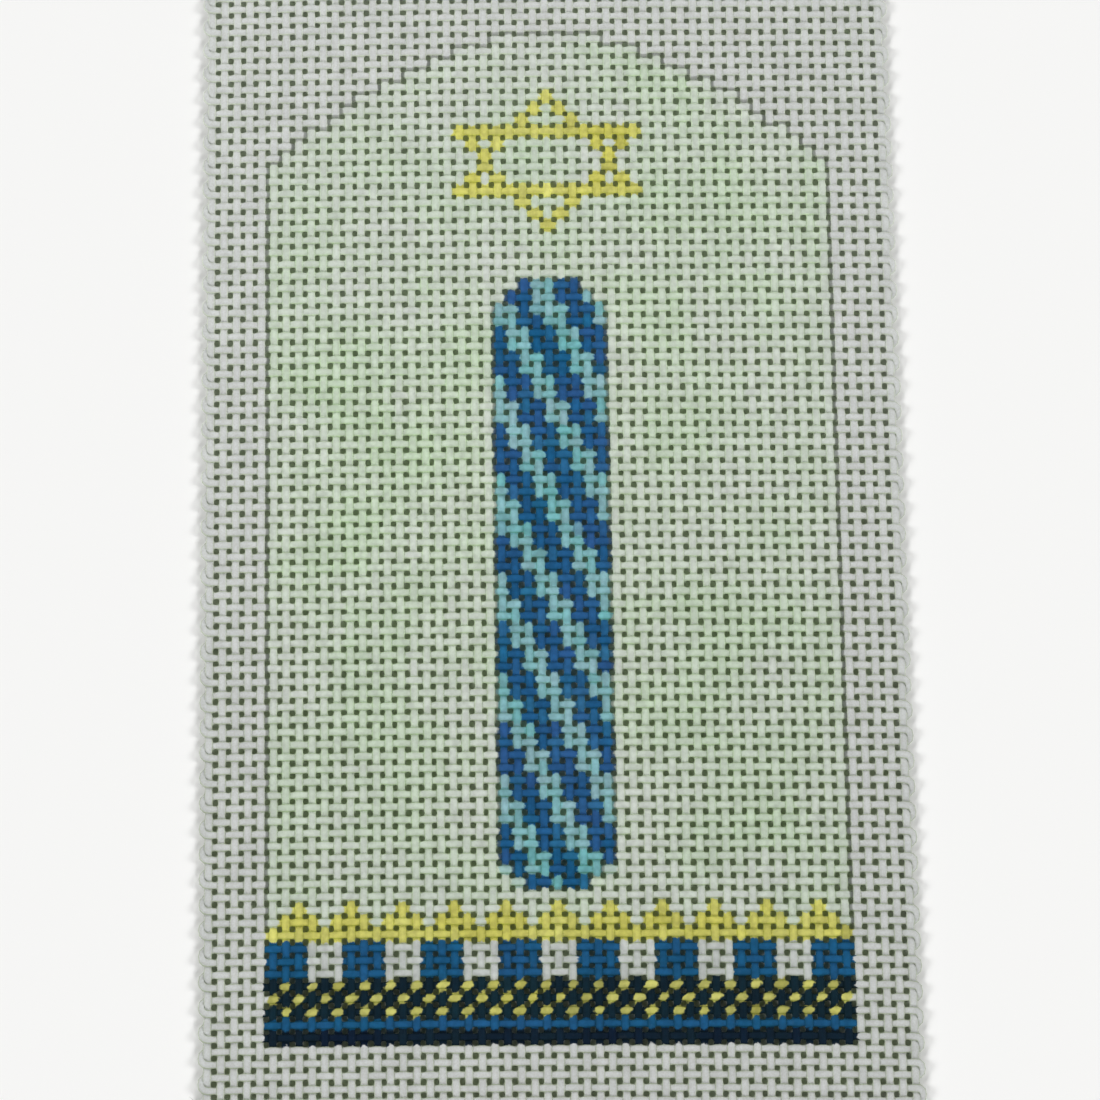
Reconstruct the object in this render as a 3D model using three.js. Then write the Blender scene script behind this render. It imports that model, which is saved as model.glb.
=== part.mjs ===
// A painted needlepoint canvas, lying flat with its painted face up: an open weave of sized cotton
// yarn, painted with a candle under a six-pointed star in an arched panel, above a banded border.
// The warps run up the picture. One weft yarn crosses them back and forth and turns at both edges.
// Units are millimetres: X across the picture, Y towards its top, Z up out of its face. The origin
// is under the middle of the canvas, on the surface that the canvas lies on.
import * as THREE from "three";

// Yarn and weave
const inch = 25.4;
const threadsPerInch = 18;
const yarnWidth = 0.85;
const yarnThickness = 0.45;
const yarnCorner = 0.15; // what rounding takes off each corner of the pressed yarn
const layerGap = 0.3; // between the weft and the warps that lie over it
const warpEnd = 0.7; // how far a cut warp stands out past the middle of the last pick
const turnSteps = 4; // facets of the weft round one turn

// Bare canvas left round the picture, in threads
const sideMargin = 5;
const topMargin = 4;
const bottomMargin = 5;

// Picture, in threads: what is painted from the panel's lower edge upwards
const navyRows = 1;
const blueRows = 1;
const checkRows = 3;
const squareRows = 3;
const triangleRows = 3;
const footRows = 1; // pale field under the candle
const candleRows = 49;
const gapRows = 4; // pale field between the candle and the star
const starRows = 12; // the star's middle is level with the foot of the arch
const starPointRows = 3; // picks in each point above and below the star's two level bars

// Picture, in threads: what is painted from side to side
const candleThreads = 9;
const fieldThreads = 18; // pale field on each side of the candle
const squareThreads = 3;
const triangleThreads = 4;
const stripeThreads = 2; // width of one stripe of the candle
const stripeRise = 2; // picks for each thread that a stripe moves across
const shoulderRows = 2; // picks over which the candle's ends narrow

// Arch over the panel, in threads: two arcs, each struck from beyond the middle, that meet blunt
const archRadius = 36;
const archOffset = 5;
const archBlunt = 1.2;

// Colours
const cotton = 0xd9d9d6;
const paleGreen = 0xc9d6bc;
const gold = 0xd6cf5c;
const blue = 0x1d5c96;
const aqua = 0x86bcc2;
const navy = 0x0f2838;
const roughness = 0.8;

// Counts and places that follow from the sizes above
const pitch = inch / threadsPerInch;
const panelThreads = Math.round(candleThreads + 2 * fieldThreads);
const panelReach = (panelThreads - 1) / 2; // threads from the middle one to the outermost
const borderRows = navyRows + blueRows + checkRows + squareRows + triangleRows;
const candleFoot = borderRows + footRows;
const starFoot = candleFoot + candleRows + gapRows;
const archFoot = starFoot + starRows / 2;
const archRows = Math.ceil(arcDepth(panelReach + archOffset) - archBlunt);
const panelRows = Math.round(archFoot + archRows);
const warpCount = panelThreads + 2 * Math.round(sideMargin);
const pickCount = panelRows + Math.round(topMargin) + Math.round(bottomMargin);
const lastWarp = ((warpCount - 1) / 2) * pitch;
const lastPick = ((pickCount - 1) / 2) * pitch;

// How far below an arc's top its half chord has grown to a given length
function arcDepth(halfChord) {
  return archRadius - Math.sqrt(Math.max(0, archRadius ** 2 - halfChord ** 2));
}

// The pressed yarn's section: across the yarn, and up from its flat underside
function yarnSection() {
  const half = yarnWidth / 2;
  const flat = half - yarnCorner;
  const shoulder = yarnThickness - yarnCorner;
  return [
    [flat, 0],
    [half, yarnCorner],
    [half, shoulder],
    [flat, yarnThickness],
    [-flat, yarnThickness],
    [-half, shoulder],
    [-half, yarnCorner],
    [-flat, 0],
  ];
}

// Half the panel's width in threads, at a count of picks below its top
function panelHalf(picksDown) {
  const depth = Math.min(picksDown + archBlunt, archRadius);
  const chord = Math.sqrt(depth * (2 * archRadius - depth));
  return Math.min(Math.floor(chord - archOffset), panelReach);
}

// The candle narrows by a thread at each end pick, and its stripes climb to the left
function candlePaint(column, row) {
  const half = (candleThreads - 1) / 2;
  const fromEnd = Math.min(row, candleRows - 1 - row);
  if (Math.abs(column) > half - Math.max(0, shoulderRows - fromEnd)) return paleGreen;
  const step = 1 + Math.floor((candleRows - 1 - row) / stripeRise);
  const across = THREE.MathUtils.euclideanModulo(column - step, 2 * stripeThreads);
  return across < stripeThreads ? blue : aqua;
}

// Two open triangles laid over each other, one thread wide, whose sides lean a thread a pick
function starPaint(column, row) {
  const tip = (starRows - 1) / 2;
  const bar = tip - starPointRows;
  const waist = tip - 0.5;
  const reach = waist + bar - 0.5;
  const level = Math.abs(row - tip);
  const across = Math.abs(column);
  if (level === bar) return across <= reach ? gold : paleGreen;
  if (level > bar) return across === tip - level ? gold : paleGreen;
  return Math.abs(across - waist) === level - 0.5 ? gold : paleGreen;
}

// The border, from the panel's lower edge up
function borderPaint(column, row) {
  const checkFoot = navyRows + blueRows;
  const squareFoot = checkFoot + checkRows;
  const triangleFoot = squareFoot + squareRows;
  const fromLeft = column + panelReach;
  if (row < navyRows) return navy;
  if (row < checkFoot) return blue;
  if (row < squareFoot) return Math.abs(column + row) % 2 === 1 ? gold : navy;
  if (row < triangleFoot) {
    return fromLeft % (2 * squareThreads) < squareThreads ? blue : cotton;
  }
  const toPeak = fromLeft % triangleThreads;
  const fromPeak = Math.abs(toPeak - triangleThreads / 2);
  return fromPeak + row - triangleFoot < triangleRows ? gold : paleGreen;
}

// The paint on one crossing, counted from the panel's middle and from its lowest pick
function paintOf(column, row) {
  const picksDown = panelRows - 1 - row;
  if (row < 0 || picksDown < 0 || Math.abs(column) > panelHalf(picksDown)) return cotton;
  if (row < borderRows) return borderPaint(column, row);
  if (row >= candleFoot && row < candleFoot + candleRows) {
    return candlePaint(column, row - candleFoot);
  }
  if (row >= starFoot && row < starFoot + starRows) return starPaint(column, row - starFoot);
  return paleGreen;
}

// The picture as a texture with one texel for each crossing of a warp and a pick
function paintTexture() {
  const data = new Uint8Array(warpCount * pickCount * 4);
  for (let pick = 0; pick < pickCount; pick += 1) {
    for (let warp = 0; warp < warpCount; warp += 1) {
      const colour = paintOf(warp - (warpCount - 1) / 2, pick - Math.round(bottomMargin));
      const at = (pick * warpCount + warp) * 4;
      data.set([colour >> 16, (colour >> 8) & 255, colour & 255, 255], at);
    }
  }
  const texture = new THREE.DataTexture(data, warpCount, pickCount);
  texture.colorSpace = THREE.SRGBColorSpace;
  texture.needsUpdate = true;
  return texture;
}

// A closed yarn through rings of its section. A ring has a place and the direction it faces.
function yarnGeometry(rings, height) {
  const section = yarnSection();
  const sides = section.length;
  const positions = [];
  const uvs = [];
  for (const { x, y, heading } of rings) {
    for (const [across, up] of section) {
      const px = x + across * Math.sin(heading);
      const py = y - across * Math.cos(heading);
      positions.push(px, py, height + up);
      uvs.push(px / (warpCount * pitch) + 0.5, py / (pickCount * pitch) + 0.5);
    }
  }
  const faces = [];
  for (let ring = 0; ring + 1 < rings.length; ring += 1) {
    for (let side = 0; side < sides; side += 1) {
      const a = ring * sides + side;
      const b = ring * sides + ((side + 1) % sides);
      faces.push(a, a + sides, b, b, a + sides, b + sides);
    }
  }
  const end = (rings.length - 1) * sides;
  for (let side = 1; side + 1 < sides; side += 1) {
    faces.push(0, side, side + 1);
    faces.push(end, end + side + 1, end + side);
  }
  const geometry = new THREE.BufferGeometry();
  geometry.setAttribute("position", new THREE.Float32BufferAttribute(positions, 3));
  geometry.setAttribute("uv", new THREE.Float32BufferAttribute(uvs, 2));
  geometry.setIndex(faces);
  geometry.computeVertexNormals();
  return geometry;
}

// A warp runs straight from cut end to cut end
function warpRings(x) {
  const reach = lastPick + warpEnd;
  const heading = Math.PI / 2;
  return [
    { x, y: -reach, heading },
    { x, y: reach, heading },
  ];
}

// The weft crosses to the right on even picks and back on odd ones, with a half round turn
// between picks about the outermost warp
function weftRings() {
  const radius = pitch / 2;
  const rings = [{ x: -lastWarp - radius, y: -lastPick, heading: 0 }];
  for (let pick = 0; pick + 1 < pickCount; pick += 1) {
    const side = pick % 2 === 0 ? 1 : -1;
    const middle = pick * pitch - lastPick + radius;
    for (let step = 0; step <= turnSteps; step += 1) {
      const turned = (step / turnSteps) * Math.PI;
      rings.push({
        x: side * (lastWarp + radius * Math.sin(turned)),
        y: middle - radius * Math.cos(turned),
        heading: side > 0 ? turned : Math.PI - turned,
      });
    }
  }
  const side = pickCount % 2 === 0 ? -1 : 1;
  rings.push({
    x: side * (lastWarp + radius),
    y: lastPick,
    heading: side > 0 ? 0 : Math.PI,
  });
  return rings;
}

function yarnMesh(name, rings, height, map) {
  const material = new THREE.MeshStandardMaterial({ map, roughness, metalness: 0 });
  const mesh = new THREE.Mesh(yarnGeometry(rings, height), material);
  mesh.name = name;
  return mesh;
}

const canvas = new THREE.Group();
const paint = paintTexture();
canvas.add(yarnMesh("weft", weftRings(), 0, paint));
for (let warp = 0; warp < warpCount; warp += 1) {
  const name = `warp_${String(warp + 1).padStart(2, "0")}`;
  const x = warp * pitch - lastWarp;
  canvas.add(yarnMesh(name, warpRings(x), yarnThickness + layerGap, paint));
}

export default canvas;
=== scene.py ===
import math

import bpy
import numpy as np
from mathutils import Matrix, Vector


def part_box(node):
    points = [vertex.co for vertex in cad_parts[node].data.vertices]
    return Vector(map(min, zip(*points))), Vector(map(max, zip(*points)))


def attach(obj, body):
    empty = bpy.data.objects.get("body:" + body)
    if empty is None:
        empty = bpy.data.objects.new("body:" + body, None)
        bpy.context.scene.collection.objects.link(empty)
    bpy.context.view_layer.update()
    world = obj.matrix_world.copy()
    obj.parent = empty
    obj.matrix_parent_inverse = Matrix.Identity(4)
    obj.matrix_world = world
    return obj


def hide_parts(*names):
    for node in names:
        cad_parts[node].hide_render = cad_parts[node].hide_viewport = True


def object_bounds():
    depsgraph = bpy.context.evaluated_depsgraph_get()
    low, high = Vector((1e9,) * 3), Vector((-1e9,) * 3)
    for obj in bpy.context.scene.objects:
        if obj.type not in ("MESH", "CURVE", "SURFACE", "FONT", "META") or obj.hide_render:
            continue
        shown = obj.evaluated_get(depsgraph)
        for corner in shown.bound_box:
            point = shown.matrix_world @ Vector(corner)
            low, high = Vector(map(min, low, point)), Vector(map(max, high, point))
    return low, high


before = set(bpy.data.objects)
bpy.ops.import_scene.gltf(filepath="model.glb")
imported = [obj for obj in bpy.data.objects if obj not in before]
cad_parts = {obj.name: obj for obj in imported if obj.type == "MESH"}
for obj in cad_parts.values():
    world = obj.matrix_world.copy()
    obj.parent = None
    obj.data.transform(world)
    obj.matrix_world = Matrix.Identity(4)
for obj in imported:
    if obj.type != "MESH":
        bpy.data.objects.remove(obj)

frame_box = [list(corner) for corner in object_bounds()]

# The yarn
# Needlepoint canvas is woven plain from one plied cotton yarn, the same both ways, and sized stiff.
# Each yarn goes over one and under the next. It is pressed flat, widest where it crosses another,
# and there the edges of the upper one bend down round the lower one.
mm = 0.001
rng = np.random.default_rng(18)
yarn_width = 0.77 * mm  # halfway between two crossings
yarn_thickness = 0.45 * mm
crossing_gap = 0.02 * mm
flare = 0.22  # share of the width by which a yarn is wider at a crossing
level_reach = 0.22  # in pitches, how far each side of a crossing a yarn lies level
edge_bend = 0.18 * mm
across_power = 0.8  # the section is an ellipse where both are 1
height_power = 1.3
width_spread = 0.07  # share of the width by which a yarn swells and shrinks
stray = 0.05 * mm  # how far a yarn leaves its line
stray_waves = (31.0, 12.3, 4.9)  # in pitches
swell_rate = 3  # how many times as often it swells as it strays
place_error = 0.025 * mm  # how far off its place in the weave a whole yarn lies
bake_margin = 0.08  # share of a strip of the bake map that is left free on each side
canvas_half = (frame_box[1][0], frame_box[1][1])
side_shift = 0.20 * mm  # the canvas isn't quite square: both its sides lie a little to the right,
pick_bow = -0.208 * mm  # its picks bow down at the sides
pick_skew = 0.352 * mm  # and fan out to the right,
end_draw = -0.63 * mm  # and its ends are drawn in
crimp = (yarn_thickness + crossing_gap) / 2  # how far a yarn rises and dips
middle = crimp + yarn_thickness / 2  # height of the canvas's middle

warp_nodes = sorted(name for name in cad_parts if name.startswith("warp_"))
warp_boxes = [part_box(name) for name in warp_nodes]
weft_low, weft_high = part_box("weft")
warp_count = len(warp_nodes)
warp_x = np.array([(low[0] + high[0]) / 2 for low, high in warp_boxes])
pitch = (warp_x[-1] - warp_x[0]) / (warp_count - 1)
pick_count = round((weft_high[1] - weft_low[1] - yarn_width) / pitch) + 1
pick_y = (np.arange(pick_count) - (pick_count - 1) / 2) * pitch


def waves(yarn_count):
    """A phase for each wave that each yarn strays by."""
    return rng.uniform(0, 2 * math.pi, (yarn_count, len(stray_waves)))


def strayed(phases, place):
    """From -1 to 1, how far yarns with these phases have strayed at a place in pitches."""
    turns = 2 * math.pi * np.asarray(place)[..., None] / stray_waves
    return np.sin(turns + phases).mean(axis=-1)


def bowed(points):
    """The points of a square canvas, moved to where they are on one that isn't quite square."""
    u = points[:, 0] / canvas_half[0]
    v = points[:, 1] / canvas_half[1]
    moved = points.copy()
    moved[:, 0] += side_shift * u**2
    moved[:, 1] += pick_bow * u**2 + pick_skew * u * v + end_draw * v**3
    return moved


def crimped(part_way):
    """From 1 to -1, how high a yarn is on its way from over one crossing to under the next."""
    return np.clip(np.cos(np.pi * part_way) / math.cos(math.pi * level_reach), -1, 1)


def skin(centres, widths, thicknesses, bends, places, sides):
    """A closed tube round a line, with each corner's place along and around it.

    Each value of bends is how far the tube's two edges are bent up at that point of the line."""
    ahead = np.gradient(centres, axis=0)
    ahead /= np.linalg.norm(ahead, axis=1, keepdims=True)
    across = np.cross(ahead, (0.0, 0.0, 1.0))
    across /= np.linalg.norm(across, axis=1, keepdims=True)
    up = np.cross(across, ahead)
    turn = 2 * math.pi * np.arange(sides) / sides
    wide = np.sign(np.cos(turn)) * np.abs(np.cos(turn)) ** across_power / 2
    high = np.sign(np.sin(turn)) * np.abs(np.sin(turn)) ** height_power
    high /= high.max() - high.min()
    raised = high * thicknesses[:, None] + (2 * wide) ** 2 * bends[:, None]
    rings = centres[:, None] + across[:, None] * wide[:, None] * widths[:, None, None]
    rings = rings + up[:, None] * raised[..., None]

    last = len(centres) - 1
    ring, side = (a.ravel() for a in np.meshgrid(range(last), range(sides), indexing="ij"))
    after = (side + 1) % sides
    quads = np.stack([ring * sides + side, (ring + 1) * sides + side,
                      (ring + 1) * sides + after, ring * sides + after], axis=1)
    start = np.arange(sides)
    along = np.stack([places[ring], places[ring + 1], places[ring + 1], places[ring]], axis=1)
    around = np.stack([side, side, side + 1, side + 1], axis=1) / sides
    return {
        "points": rings.reshape(-1, 3),
        "faces": [*quads.tolist(), start.tolist(), (last * sides + start)[::-1].tolist()],
        "along": np.concatenate([along.ravel(), np.full(sides, places[0]), np.full(sides, places[-1])]),
        "around": np.concatenate([around.ravel(), start / sides, start[::-1] / sides]),
    }


# The fibres of a cut end
# Where a yarn is cut, its sizing cracks and the fibres of its plies spread in a short brush. They
# are of the same cotton, and each tapers to its tip.
fibre_count = 9
fibre_length = (0.5 * mm, 1.3 * mm)
fibre_thickness = 0.09 * mm
fibre_taper = 0.75  # share of its thickness that a fibre has lost at its tip
fibre_sides = 3
fibre_spread = 0.45  # how far a fibre leans and curls to the side, as a share of its length
fibre_lift = 0.3  # and up or down
fibre_hidden = 0.2 * mm  # how much of it is inside the yarn
root_across = 0.36  # shares of the yarn's width and thickness within which fibres spring
root_up = 0.3
fibre_steps = np.linspace(0, 1, 4)  # from its root to its tip
fibre_floor = 0.05 * mm  # no fibre dips lower than this over the table


def brush(end, ahead, place):
    """Tapered fibres that spread from a yarn's cut end."""
    across = np.cross(ahead, (0.0, 0.0, 1.0))
    made = []
    for _ in range(fibre_count):
        root = end + across * rng.uniform(-root_across, root_across) * yarn_width
        root = root + np.array([0, 0, rng.uniform(-root_up, root_up) * yarn_thickness])
        root = root - ahead * fibre_hidden
        lean = ahead + across * rng.normal(0, fibre_spread)
        lean = lean + np.array([0, 0, rng.normal(0, fibre_lift)])
        curl = across * rng.normal(0, fibre_spread)
        reach = rng.uniform(*fibre_length) + fibre_hidden
        line = root + reach * (fibre_steps[:, None] * lean + fibre_steps[:, None] ** 2 * curl)
        line[:, 2] = np.maximum(line[:, 2], fibre_floor)
        girth = fibre_thickness * (1 - fibre_taper * fibre_steps)
        bends, places = np.zeros(len(line)), np.full(len(line), place)
        made.append(skin(line, girth, girth, bends, places, fibre_sides))
    return made


def woven(name, parts, folds, fold_length):
    """One yarn's object, from its skin and fibres, with its maps. The bake map is folded in strips."""
    points, faces, shift = [], [], 0
    for part in parts:
        points.append(part["points"])
        faces += [[corner + shift for corner in face] for face in part["faces"]]
        shift += len(part["points"])
    mesh = bpy.data.meshes.new(name)
    mesh.from_pydata(bowed(np.concatenate(points)), [], faces)
    sizes = np.array([len(face) for face in faces])
    starts = np.concatenate([[0], np.cumsum(sizes)[:-1]])
    along = np.concatenate([part["along"] for part in parts])
    around = np.concatenate([part["around"] for part in parts])
    mean_place = np.add.reduceat(along, starts) / sizes
    cell = np.floor(mean_place).astype(int)
    fold = np.clip(np.floor(mean_place / fold_length), 0, folds - 1)
    bake_u = (along - np.repeat(fold, sizes) * fold_length + 0.5) / (fold_length + 1)
    bake_v = (np.repeat(fold, sizes) + bake_margin + (1 - 2 * bake_margin) * around) / folds
    for title, u, v in (("yarn", along - np.repeat(cell, sizes), around), ("OFBake", bake_u, bake_v)):
        mesh.uv_layers.new(name=title).uv.foreach_set("vector", np.stack([u, v], axis=1).ravel())
    mesh.shade_smooth()
    yarn = bpy.data.objects.new(name, mesh)
    bpy.context.scene.collection.objects.link(yarn)
    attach(yarn, "root")
    return yarn, cell


# The weft
# One yarn, laid back and forth across the warps by the shuttle. It turns round the outermost warp
# at both edges, which makes the selvedges, and its two ends are cut.
weft_sides = 6
weft_narrower = 0.96  # the weft is slacker than the warps, and is a little narrower between them
crossing_rings = np.array([level_reach, 0.5, 1 - level_reach])  # from one crossing to the next
turn_steps = 6  # rings round a turn at the edge
loose_end = 0.5  # in pitches, how far its two cut ends stand out
column = np.arange(warp_count)
weft_column = np.concatenate([column if pick % 2 == 0 else column[::-1] for pick in range(pick_count)])
weft_row = np.repeat(np.arange(pick_count), warp_count)
weft_phases = waves(pick_count)
weft_swell = waves(pick_count)
pick_offset = rng.normal(0, place_error, pick_count)
place = []
for crossing in range(len(weft_column) - 1):
    turns = weft_row[crossing] != weft_row[crossing + 1]
    place.append(crossing + (np.arange(turn_steps) / turn_steps if turns else crossing_rings))
place = np.concatenate([[-loose_end], *place, [len(weft_column) - 1, len(weft_column) - 1 + loose_end]])
behind = np.clip(np.floor(place), 0, len(weft_column) - 1).astype(int)
part_way = place - behind
pick = weft_row[behind]
to_right = np.where(pick % 2 == 0, 1, -1)
turning = (np.append(weft_row[1:], pick_count - 1) != weft_row)[behind]
swing = np.pi * part_way
at_column = np.where(turning, weft_column[behind], weft_column[behind] + to_right * part_way)
pick_line = pick_y + pick_offset
next_pick = np.minimum(pick + 1, pick_count - 1)
straight_x = warp_x[0] + pitch * at_column
x = np.where(turning, straight_x + to_right * pitch / 2 * np.sin(swing), straight_x)
turned_y = (pick_line[pick] * (1 + np.cos(swing)) + pick_line[next_pick] * (1 - np.cos(swing))) / 2
y = np.where(turning, turned_y, pick_line[pick])
y = y + stray * strayed(weft_phases[pick], at_column)
rise = -np.cos(np.pi * (weft_column[behind] + pick)) * crimped(part_way)
weft_widths = yarn_width * (1 + width_spread * strayed(weft_swell[pick], at_column * swell_rate))
weft_widths *= weft_narrower + (1 + flare - weft_narrower) * np.abs(rise)
weft_thicknesses = np.full(len(place), yarn_thickness)
weft_line = np.stack([x, y, middle + crimp * rise], axis=1)
weft_skin = skin(weft_line, weft_widths, weft_thicknesses, -edge_bend * rise, place, weft_sides)
weft_brushes = brush(weft_line[0], np.array([-1.0, 0, 0]), place[0])
weft_brushes += brush(weft_line[-1], np.array([float(to_right[-1]), 0, 0]), place[-1])
weft, weft_cells = woven("weft_yarn", [weft_skin, *weft_brushes], pick_count, warp_count)
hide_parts("weft")
yarns = [(weft, weft_column, weft_row, weft_cells)]

# The warps
# The yarns that run up the picture. They were held tight in the loom while the weft was laid, and
# they are cut off above the last pick and below the first, where their ends fray.
warp_sides = 8
warp_folds = 8  # strips that the bake map of one is folded into
panel_reach = 22  # warps from the middle one to the outermost that the painted panel covers
candle_reach = 4  # and to the outermost that the candle covers
warp_reach = warp_boxes[0][1][1]
warp_phases = waves(warp_count)
warp_swell = waves(warp_count)
warp_offset = rng.normal(0, place_error, warp_count)
end_place = (warp_reach - pick_y[-1]) / pitch
warp_place = (np.arange(pick_count - 1)[:, None] + crossing_rings).ravel()
warp_place = np.concatenate([[-end_place, 0], warp_place, [pick_count - 1, pick_count - 1 + end_place]])
for warp, warp_node in enumerate(warp_nodes):
    x = warp_x[warp] + warp_offset[warp] + stray * strayed(warp_phases[warp], warp_place)
    y = pick_y[0] + warp_place * pitch
    rise = crimped(warp + warp_place)
    widths = yarn_width * (1 + width_spread * strayed(warp_swell[warp], warp_place * swell_rate))
    widths *= 1 + flare * np.abs(rise)
    thicknesses = np.full(len(warp_place), yarn_thickness)
    line = np.stack([x, y, middle + crimp * rise], axis=1)
    parts = [skin(line, widths, thicknesses, -edge_bend * rise, warp_place, warp_sides)]
    parts += brush(line[0], np.array([0, -1.0, 0]), warp_place[0])
    parts += brush(line[-1], np.array([0, 1.0, 0]), warp_place[-1])
    yarn, cells = woven(f"{warp_node}_yarn", parts, warp_folds, math.ceil(pick_count / warp_folds))
    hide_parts(warp_node)
    yarns.append((yarn, np.full(pick_count, warp), np.arange(pick_count), cells))

# The painted picture
# The painter draws the panel's outline with a pen, then lays thin acrylic on each crossing: a pale
# green wash over the field, and full colour on the star, the candle and the border. Rows are counted
# up from the panel's lowest, and columns out from its middle thread.
panel_foot = 5  # the pick that is the panel's lowest row
panel_rows = 82
navy_rows = 1
check_foot = 2
square_foot = 5
triangle_foot = 8
triangle_rows = 3
border_rows = triangle_foot + triangle_rows
candle_foot = 12
candle_rows = 49
shoulder_rows = 2  # over which the candle's ends narrow
stripe_threads = 2
stripe_rise = 2  # rows for each thread that a stripe moves across
star_foot = 65
star_rows = 12
star_point_rows = 3
arch_foot = 71
square_threads = 3
triangle_threads = 4
arch_radius = 36  # of each of the arch's two arcs, in threads
arch_offset = 5  # how far past the middle each arc has its centre
arch_blunt = 1.2  # how far the highest row is below the arcs' own tops
candle_top = candle_foot + candle_rows - 1

# Each coat has two colours, between which it varies, and a share of the cotton that it covers. It
# covers the thin places of its own brushwork too where that is over 1.
coats = {
    "bare": ("c7cac7", "c7cac7", 0.0),
    "wash": ("bfd5b4", "ccd5c8", 0.6),
    "gold": ("cfcd74", "c9c562", 1.15),
    "blue": ("135884", "2a568b", 1.15),
    "border blue": ("165780", "1d5684", 1.15),
    "aqua": ("6fb0b4", "8db3bb", 1.1),
    "navy": ("03182e", "0a222f", 1.15),
    "check navy": ("061f2c", "0c2a35", 1.15),
    "white": ("bbc1bc", "c3c8c4", 0.7),
}


def linear(code):
    """A colour's linear values from its hexadecimal code."""
    parts = np.array([int(code[i : i + 2], 16) for i in (0, 2, 4)]) / 255
    return np.where(parts <= 0.04045, parts / 12.92, ((parts + 0.055) / 1.055) ** 2.4)


def panel_half(row):
    """Half the panel's width in threads. Two arcs meet blunt at its top."""
    depth = min(panel_rows - 1 - row + arch_blunt, arch_radius)
    return min(math.floor(math.sqrt(depth * (2 * arch_radius - depth)) - arch_offset), panel_reach)


def border_coat(column, row):
    """Bands of navy, blue, checks, squares and triangles."""
    from_left = column + panel_reach
    if row < navy_rows:
        return "navy"
    if row < check_foot:
        return "border blue"
    if row < square_foot:
        return "gold" if (column + row) % 2 else "check navy"
    if row < triangle_foot:
        return "border blue" if from_left % (2 * square_threads) < square_threads else "white"
    from_peak = abs(from_left % triangle_threads - triangle_threads / 2)
    return "gold" if from_peak + row - triangle_foot < triangle_rows else "wash"


def candle_coat(column, row):
    """Slanted stripes, which climb to the left."""
    from_end = min(row, candle_rows - 1 - row)
    if abs(column) > candle_reach - max(0, shoulder_rows - from_end):
        return "wash"
    step = 1 + (candle_rows - 1 - row) // stripe_rise
    return "blue" if (column - step) % (2 * stripe_threads) < stripe_threads else "aqua"


def star_coat(column, row):
    """Two open triangles laid over each other, one thread wide."""
    tip = (star_rows - 1) / 2
    bar = tip - star_point_rows
    level = abs(row - tip)
    if level == bar:
        return "gold" if abs(column) <= tip + bar - 1 else "wash"
    if level > bar:
        return "gold" if abs(column) == tip - level else "wash"
    return "gold" if abs(abs(column) - tip + 0.5) == level - 0.5 else "wash"


def coat_at(column, row):
    """The coat on one crossing, counted from the panel's middle thread and its lowest pick."""
    if not 0 <= row < panel_rows or abs(column) > panel_half(row):
        return "bare"
    if row < border_rows:
        return border_coat(column, row)
    if candle_foot <= row <= candle_top:
        return candle_coat(column, row - candle_foot)
    if star_foot <= row < star_foot + star_rows:
        return star_coat(column, row - star_foot)
    return "wash"


chart = np.array([[coat_at(warp - (warp_count - 1) // 2, pick - panel_foot)
                   for warp in range(warp_count)] for pick in range(pick_count)])
cover = np.zeros((pick_count, warp_count))

# The brush leaves each coat a little different from crossing to crossing, but the wash runs level
run_margin = 2  # crossings on each side over which paint evens out
run_length = 2 * run_margin + 1
wash_variety = 0.3
coat_variety = 0.22
shade_variety = 0.06
own = rng.normal(0, 1, (pick_count + 2 * run_margin, warp_count + 2 * run_margin))
level_run = sum(own[dy : dy + pick_count, dx : dx + warp_count]
                for dy in range(run_length) for dx in range(run_length)) / run_length
own_run = own[run_margin:-run_margin, run_margin:-run_margin]
coat_blend = 0.5 + coat_variety * (level_run + own_run)
blend = np.where(chart == "wash", 0.5 + wash_variety * level_run, coat_blend)
blend = np.clip(blend, 0, 1)[..., None]
colour = np.zeros((pick_count, warp_count, 3))
for title, (first, second, share) in coats.items():
    here = chart == title
    colour[here] = (linear(first) * (1 - blend) + linear(second) * blend)[here]
    cover[here] = share
shade = rng.normal(1, shade_variety, (pick_count, warp_count, 1))
colour = np.clip(colour * np.where((chart == "wash")[..., None], 1, shade), 0, 1)

# A little aqua runs into the wet blue of the candle's stripes
run_in_colour = linear("3f93ae")
run_in_spread = 0.12
run_in_most = 0.3
run_in = rng.normal(0, run_in_spread, chart.shape).clip(0, run_in_most) * (chart == "blue")
colour += run_in[..., None] * (run_in_colour - colour)

# The wash lies in patches, and thins out towards the pen's line and under the candle
wash_left_by_arch = 0.56  # share of it left on the crossings next to the line
wash_left_by_side = 0.82
wash_left_under_candle = 0.82
wash_spread = 0.03
wash = chart == "wash"
rows_up = np.arange(pick_count)[:, None] - panel_foot
columns_across = np.arange(warp_count)[None, :] - (warp_count - 1) // 2
patches = (  # columns and rows of each patch's middle, its reach in threads, and what it adds
    (-12, 45, 13, 0.18),
    (14, 70, 10, 0.16),
    (-14, 68, 12, -0.20),
    (12, 20, 14, 0.06),
)
for patch_column, patch_row, patch_reach, added in patches:
    gone = ((columns_across - patch_column) ** 2 + (rows_up - patch_row) ** 2) / patch_reach**2
    cover = cover + wash * added * np.exp(-gone)
bare = np.pad(chart == "bare", 1)
by_line = wash & (sum(bare[1 + dy : 1 + dy + pick_count, 1 + dx : 1 + dx + warp_count]
                      for dy, dx in ((0, -1), (0, 1), (1, 0))) > 0)
left_by_line = np.where(rows_up > arch_foot, wash_left_by_arch, wash_left_by_side)
cover = np.where(by_line, cover * left_by_line, cover)
under_candle = (rows_up == candle_foot - 1) & (np.abs(columns_across) <= candle_reach)
cover = np.where(wash & under_candle, cover * wash_left_under_candle, cover)
cover = np.where(wash, cover + rng.normal(0, wash_spread, cover.shape), cover)

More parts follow.
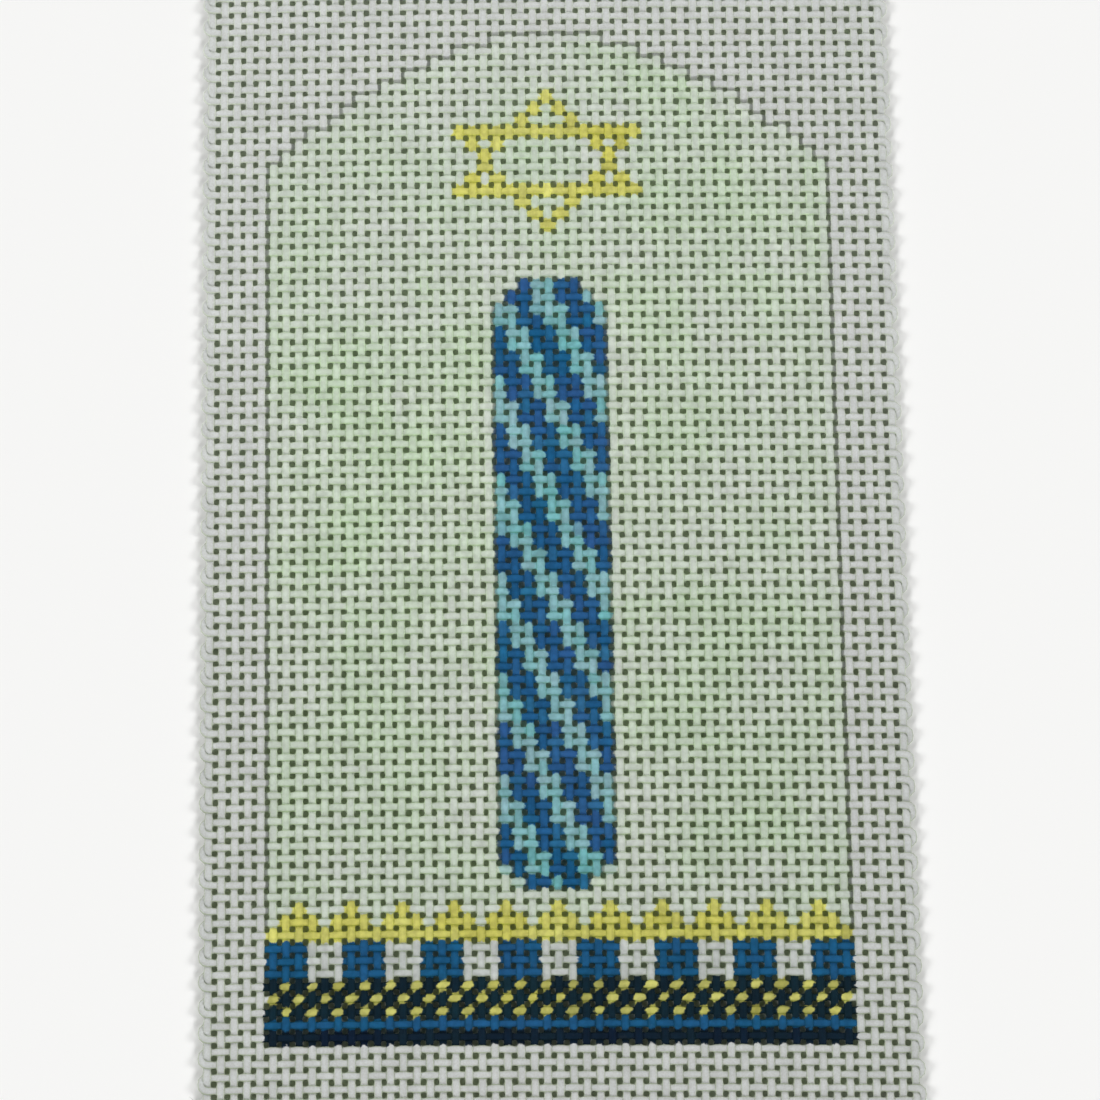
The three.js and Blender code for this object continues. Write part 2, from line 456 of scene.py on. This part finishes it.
# Here and there the painter slipped: a crossing of the candle has its neighbour's colour
slips = (  # column, row, the colour and how much of it
    (-1, 58, "aqua", 0.85),
    (-1, 12, "blue", 1.0),
    (-4, 40, "aqua", 0.75),
    (2, 40, "blue", 0.45),
    (-4, 13, "aqua", 0.7),
    (4, 13, "aqua", 0.4),
    (-3, 12, "aqua", 0.45),
)
for slip_column, slip_row, title, share in slips:
    spot = slip_row + panel_foot, slip_column + (warp_count - 1) // 2
    first, second, full_cover = coats[title]
    colour[spot] += share * ((linear(first) + linear(second)) / 2 - colour[spot])
    cover[spot] += share * (full_cover - cover[spot])

# The pen's line shows where it crosses a yarn between a crossing inside the panel and one outside.
# It shows less down the candle's sides, and faint ticks are left round its ends and the triangles.
line_foot = panel_foot + triangle_foot  # lower down, paint hides it
line_darkness = (0.7, 1)
side_darkness = (0.45, 0.8)
tick_darkness = (-0.25, 0.55)  # there is no tick where this is below 0
peak_darkness = (-0.5, 0.35)
pen_on_warp = 0.7  # share of its darkness on the weft
inside = chart != "bare"
ticked = np.isin(chart, ("gold", "blue", "border blue", "aqua")) & (rows_up < star_foot)
ticked &= (rows_up < border_rows) | (rows_up >= candle_foot)
tick_rows = (rows_up >= triangle_foot - 1) & (rows_up <= candle_foot + shoulder_rows)
tick_rows |= (rows_up >= candle_top - shoulder_rows) & (rows_up <= candle_top + 1)
candle_paint = np.isin(chart, ("blue", "aqua"))


def ranged(limits, chance):
    """Between two limits, the place that a chance from 0 to 1 gives."""
    return limits[0] + (limits[1] - limits[0]) * chance


def penned(behind, ahead):
    """How dark the pen's line is between pairs of crossings, each given as (rows, columns)."""
    outline = (inside[behind] != inside[ahead]) & (np.minimum(behind[0], ahead[0]) > line_foot)
    tick = (ticked[behind] != ticked[ahead]) & (wash[behind] | wash[ahead])
    tick &= tick_rows[behind[0], 0] & tick_rows[ahead[0], 0]
    by_candle = (candle_paint[behind] != candle_paint[ahead]) & (behind[0] == ahead[0])
    by_peak = (chart[behind] == "gold") != (chart[ahead] == "gold")
    chance = rng.uniform(0, 1, len(outline))
    faint = np.where(by_peak, ranged(peak_darkness, chance), ranged(tick_darkness, chance))
    faint = np.where(by_candle, ranged(side_darkness, chance), faint).clip(0)
    dark = rng.uniform(*line_darkness, len(outline))
    return np.where(outline, dark, np.where(tick | by_candle, faint, 0))


def edge_between(behind, ahead, dab_reach, spread_share):
    """Where one coat gives way to the next, and whether the edge is that of a small gold dab."""
    place = 0.5 + spread_share * (spread[behind] - spread[ahead])
    reach = rng.normal(dab_reach, dab_uneven, len(place))
    place = np.where(dab[behind] & ~dab[ahead], reach, place)
    place = np.where(dab[ahead] & ~dab[behind], 1 - reach, place)
    return place, dab[behind] != dab[ahead]


reaches = {"navy": 0.2, "check navy": 0.2, "gold": 0.09, "border blue": 0.12, "blue": 0.07}
spread = np.zeros(chart.shape)
for title, reach in reaches.items():
    spread[chart == title] = reach
dab = (chart == "gold") & (rows_up >= check_foot) & (rows_up < square_foot)
dab_uneven = 0.045
dab_slant = 0.13  # they lean to the right
dab_slant_range = (0.4, 1.3)  # shares of it
dab_tone = 0.84  # their paint is darker
dab_tone_spread = 0.1
dab_tone_range = (0.6, 1.05)
weft_edges = (0.35, 1.0)  # how far a dab reaches along the yarn, and the share of the spread
warp_edges = (0.42, 0.75)
colour[dab] *= rng.normal(dab_tone, dab_tone_spread, (dab.sum(), 1)).clip(*dab_tone_range)
for yarn, columns, rows, cells in yarns:
    last = len(columns) - 1
    stretches = np.arange(-1, last + 1)
    low = np.clip(stretches, 0, last)
    high = np.clip(stretches + 1, 0, last)
    behind = rows[low], columns[low]
    ahead = rows[high], columns[high]
    is_weft = yarn == weft
    place, by_dab = edge_between(behind, ahead, *(weft_edges if is_weft else warp_edges))
    slant = by_dab * (dab_slant if is_weft else -dab_slant)
    slant = slant * rng.uniform(*dab_slant_range, len(place))
    pen = penned(behind, ahead) * (1.0 if is_weft else pen_on_warp)
    marks = np.stack([place, pen, slant], axis=1)
    covers = np.stack([cover[behind], cover[ahead], np.zeros(len(low))], axis=1)
    stretch = np.clip(cells + 1, 0, last + 1)
    for title, values in (("paint_behind", colour[behind]), ("paint_ahead", colour[ahead]),
                          ("covers", covers), ("marks", marks)):
        attribute = yarn.data.attributes.new(title, "FLOAT_VECTOR", "FACE")
        attribute.data.foreach_set("vector", values[stretch].ravel())

# The finish of the yarn
# Sized cotton under thin paint. The cotton is mottled, has painted shade towards its lower end, and
# painted olive shade on its flanks. The paint is less dull than the cotton where it lies thick.
finish = bpy.data.materials.new("painted_canvas_yarn")
finish.use_nodes = True
tree = finish.node_tree
tree.nodes.clear()


def node(kind, settings=None, **inputs):
    """A node with its settings and inputs. An input is a value or another node's output."""
    made = tree.nodes.new(kind)
    for title, value in (settings or {}).items():
        setattr(made, title, value)
    for title, value in inputs.items():
        socket = made.inputs[int(title[1:])] if title[1:].isdigit() else made.inputs[title]
        if isinstance(value, bpy.types.NodeSocket):
            tree.links.new(value, socket)
        else:
            socket.default_value = value
    return made


def maths(operation, *values):
    """One step of arithmetic."""
    numbered = {f"_{i}": value for i, value in enumerate(values)}
    return node("ShaderNodeMath", {"operation": operation}, **numbered).outputs[0]


def plus(first, second):
    return maths("ADD", first, second)


def minus(first, second):
    return maths("SUBTRACT", first, second)


def times(first, second):
    return maths("MULTIPLY", first, second)


def size_of(value):
    return maths("ABSOLUTE", value)


def ramp(value, low, high, to_low=0.0, to_high=1.0):
    """A smooth step between two values."""
    settings = {"interpolation_type": "SMOOTHSTEP"}
    made = node("ShaderNodeMapRange", settings, _0=value, _1=low, _2=high, _3=to_low, _4=to_high)
    return made.outputs[0]


def mixed(factor, first, second, blend="MIX"):
    """One colour over another."""
    settings = {"data_type": "RGBA", "blend_type": blend}
    return node("ShaderNodeMix", settings, _0=factor, _6=first, _7=second).outputs[2]


def tinted(first, second):
    """One colour times another."""
    return mixed(1.0, first, second, "MULTIPLY")


def grey(value):
    """A colour with one value in all its channels."""
    return node("ShaderNodeCombineXYZ", None, _0=value, _1=value, _2=value).outputs[0]


def parts_of(vector):
    """The three parts of a vector or colour."""
    return node("ShaderNodeSeparateXYZ", None, _0=vector).outputs


def noise(scale, detail=2.0):
    """Noise over the canvas, with so many bumps to the metre."""
    made = node("ShaderNodeTexNoise", None, Vector=place_on_canvas, Scale=scale, Detail=detail)
    return made.outputs[0]


place_on_canvas = node("ShaderNodeTexCoord").outputs["Object"]
place_across, place_up, _ = parts_of(place_on_canvas)
facing = parts_of(node("ShaderNodeNewGeometry").outputs["Normal"])[2]
part_of_way, round_yarn, _ = parts_of(node("ShaderNodeUVMap", {"uv_map": "yarn"}).outputs[0])
attributes = {title: node("ShaderNodeAttribute", {"attribute_name": title}).outputs["Color"]
              for title in ("paint_behind", "paint_ahead", "covers", "marks")}
cover_behind, cover_ahead, _ = parts_of(attributes["covers"])
edge_mark, pen_mark, slant_mark = parts_of(attributes["marks"])

# Each coat ends between two crossings, at an edge that wobbles, and a dab's end is round and slanted
edge_bumps = 1900.0
edge_wobble = 0.5
edge_roundness = 0.7
edge_softness = 0.07
full_turn = 2 * math.pi
sideways = maths("COSINE", times(round_yarn, full_turn))
wobble = times(minus(noise(edge_bumps), 0.5), edge_wobble)
rounded = plus(1.0, times(times(sideways, sideways), edge_roundness))
edge_place = plus(times(minus(edge_mark, 0.5), rounded), 0.5)
edge_place = minus(edge_place, times(slant_mark, sideways))
past_edge = plus(minus(part_of_way, edge_place), wobble)
over = ramp(past_edge, -edge_softness, edge_softness)
paint = mixed(over, attributes["paint_behind"], attributes["paint_ahead"])

# Less of the paint soaks through to the underside, and it is thin in places
noise_span = (0.3, 0.7)  # between which most of a noise's values lie
fine_detail = 3.0  # octaves of finer noise
soaked_through = 0.45
soaked_facing = (-0.75, 0.05)  # from where a yarn faces down to where it faces sideways
patch_bumps = 900.0
patch_span = (0.25, 0.6)
thin_patch = 0.86
laid_on = plus(times(cover_behind, minus(1.0, over)), times(cover_ahead, over))
soaked = ramp(facing, *soaked_facing, soaked_through, 1.0)
patchy = ramp(noise(patch_bumps, fine_detail), *patch_span, thin_patch, 1.0)
coverage = maths("MINIMUM", times(times(laid_on, soaked), patchy), 1.0)
mottle_bumps = 1400.0
mottle_tone = (0.88, 1.12)
mottled_paint = tinted(paint, grey(ramp(noise(mottle_bumps), *noise_span, *mottle_tone)))
cotton_bumps = 5000.0
dull_cotton = (*linear("c7c9c5"), 1)
clean_cotton = (*linear("d1d4d3"), 1)
cotton = mixed(ramp(noise(cotton_bumps, fine_detail), *noise_span), dull_cotton, clean_cotton)
painted = mixed(coverage, cotton, mottled_paint)

# The pen's ink lies in a thin band on top of the yarn, halfway between two crossings
ink = (*linear("4c524a"), 1)
ink_strength = 0.85
ink_edge = (0.2, 0.08)  # from the line's middle: no ink, and all of it
ink_facing = (-0.2, 0.3)  # it doesn't reach the underside
line_wobble = 0.35  # share of the wobble of a coat's edge
from_line = size_of(plus(minus(part_of_way, 0.5), times(wobble, line_wobble)))
line_here = times(ramp(from_line, *ink_edge), ramp(facing, *ink_facing))
drawn_on = mixed(times(line_here, times(pen_mark, ink_strength)), painted, ink)

# Painted shade darkens the lower end, where the light falls off. The right side is a little darker,
# and soil leaves the whole uneven
soil_bumps = 620.0
soil_tone = (0.93, 1.05)
foot_shade_span = (-60 * mm, 30 * mm)  # heights between which the painted shade at the lower end fades
foot_painted_shade = (0.91, 1.0)
side_span = (-40 * mm, 40 * mm)
side_tone = (1.015, 0.975)
painted_low_shade_and_side_tone = times(ramp(place_up, *foot_shade_span, *foot_painted_shade), ramp(place_across, *side_span, *side_tone))
uneven_and_painted_low_shade = times(ramp(noise(soil_bumps), *noise_span, *soil_tone), painted_low_shade_and_side_tone)
toned = tinted(drawn_on, grey(uneven_and_painted_low_shade))

# Painted shade tints the flanks darker and olive, more so towards the lower end. It is deepest on the
# part of a flank that faces down into a hole, but not on the turns at the sides or on the cut ends.
flank_facing = (0.92, 0.2)  # where the painted shade begins, and where it is full
deep_facing = (0.1, -0.3)
deep_lowest = (-0.85, -0.55)  # none of it on the underside
flank_painted_shade_low = (0.75, 0.82, 0.63, 1)
flank_painted_shade_top = (0.99, 1.04, 0.90, 1)
deep_painted_shade_low = (0.88, 1.05, 0.60, 1)
deep_painted_shade_top = (1.02, 1.16, 0.84, 1)
deep_side = (38.4 * mm, 37.2 * mm)  # from the canvas's middle: none of it, and all of it
deep_end = (63.2 * mm, 62.0 * mm)
flank_span = (-60 * mm, 60 * mm)  # heights between which the painted shade's tone changes
towards_top = ramp(place_up, *flank_span)
flank_painted_shade = mixed(towards_top, flank_painted_shade_low, flank_painted_shade_top)
deep_painted_shade = mixed(towards_top, deep_painted_shade_low, deep_painted_shade_top)
flank_shade_mask = ramp(size_of(facing), *flank_facing)
with_painted_flank_shade = mixed(flank_shade_mask, toned, tinted(toned, flank_painted_shade))
deep_shade_mask = times(ramp(facing, *deep_facing), ramp(facing, *deep_lowest))
away_from_edges = times(ramp(size_of(place_across), *deep_side), ramp(size_of(place_up), *deep_end))
deep_shade_mask = times(deep_shade_mask, away_from_edges)
skin_colour = mixed(deep_shade_mask, with_painted_flank_shade, tinted(with_painted_flank_shade, deep_painted_shade))

# Three twists of the plies show between two crossings, under a nap of fine fibres
ply_twists = 3.0
ply_height = 0.5  # against the nap's
nap_bumps = 9000.0
nap_detail = 4.0
relief_depth = 0.03 * mm
relief_strength = 0.5
thick_paint = (0.3, 0.95)  # shares of cover between which the surface grows smoother
bare_roughness = 0.9
painted_roughness = 0.72
yarn_gloss = 0.1
ply = maths("SINE", times(plus(times(part_of_way, ply_twists), round_yarn), full_turn))
relief = plus(times(ply, ply_height), noise(nap_bumps, nap_detail))
bump = node("ShaderNodeBump", None, Strength=relief_strength, Distance=relief_depth, Height=relief)
roughness = ramp(coverage, *thick_paint, bare_roughness, painted_roughness)
surface = node("ShaderNodeBsdfPrincipled", None, _0=skin_colour, Roughness=roughness,
               Normal=bump.outputs[0])
surface.inputs["Specular IOR Level"].default_value = yarn_gloss
node("ShaderNodeOutputMaterial", None, Surface=surface.outputs[0])
for yarn, *_ in yarns:
    yarn.data.materials.append(finish)

# The floor
# A plain pale table top that the canvas lies flat on, wide enough to fill every view. It is painted
# dull, so that nothing shines in it.
floor_half = 6.0
floor_colour = (0.90, 0.90, 0.89, 1)
floor_roughness = 0.9
floor_gloss = 0.0
floor_mesh = bpy.data.meshes.new("floor")
corners = [(-1, -1), (1, -1), (1, 1), (-1, 1)]
floor_mesh.from_pydata([(a * floor_half, b * floor_half, 0) for a, b in corners], [], [(0, 1, 2, 3)])
floor = bpy.data.objects.new("floor", floor_mesh)
bpy.context.scene.collection.objects.link(floor)
floor_finish = bpy.data.materials.new("floor_paint")
floor_finish.use_nodes = True
floor_surface = floor_finish.node_tree.nodes["Principled BSDF"]
floor_surface.inputs["Base Color"].default_value = floor_colour
floor_surface.inputs["Roughness"].default_value = floor_roughness
floor_surface.inputs["Specular IOR Level"].default_value = floor_gloss
floor_mesh.materials.append(floor_finish)

# The light
# A ring of soft lamps, low round the canvas, so that little light falls straight down its holes. A
# plain pale sky is seen behind the floor, and adds next to no light.
lamp_count = 6
lamp_elevation = math.radians(30)
lamp_softness = math.radians(18)
lamp_level = 1.02  # what a white floor gives back
lamp_sides = 0.35  # how much stronger the lamps at the two sides are
sky_fill = 0.005
sky_seen = 0.915  # as bright as the floor, so that the floor's far edge doesn't show
for lamp in range(lamp_count):
    data = bpy.data.lights.new(f"lamp_{lamp + 1}", "SUN")
    turn = 2 * math.pi * (lamp + 0.5) / lamp_count
    share = (1 - lamp_sides * math.cos(2 * turn)) / lamp_count
    data.angle = lamp_softness
    data.energy = lamp_level * share * math.pi / math.sin(lamp_elevation)
    light = bpy.data.objects.new(data.name, data)
    light.rotation_euler = (math.pi / 2 - lamp_elevation, 0, turn)
    bpy.context.scene.collection.objects.link(light)

sky = bpy.data.worlds.new("studio")
sky.use_nodes = True
sky_nodes = sky.node_tree.nodes
sky_links = sky.node_tree.links
sky_light = sky_nodes["Background"]
sky_light.inputs["Color"].default_value = (1, 1, 1, 1)
seen = sky_nodes.new("ShaderNodeLightPath")
level = sky_nodes.new("ShaderNodeMapRange")
level.inputs["To Min"].default_value = sky_fill
level.inputs["To Max"].default_value = sky_seen
sky_links.new(seen.outputs["Is Camera Ray"], level.inputs["Value"])
sky_links.new(level.outputs["Result"], sky_light.inputs["Strength"])
bpy.context.scene.world = sky

# The camera
# It looks down on the canvas from beyond its lower end, a little to the left, as someone does who
# photographs it on a table.
camera_place = Vector((-13.335, -88.33, 393.96)) * mm
camera_turn = (12.339, -1.708, -0.859)  # in degrees
camera_lens = 118.93  # in mm, as the width of its film is
camera_film = 36
camera_near = 10 * mm
camera_data = bpy.data.cameras.new("camera")
camera_data.lens = camera_lens
camera_data.sensor_width = camera_film
camera_data.clip_start = camera_near
camera = bpy.data.objects.new("camera", camera_data)
camera.location = camera_place
camera.rotation_euler = [math.radians(angle) for angle in camera_turn]
bpy.context.scene.collection.objects.link(camera)
bpy.context.scene.camera = camera
bpy.context.scene.view_settings.view_transform = "Standard"

bpy.context.view_layer.update()
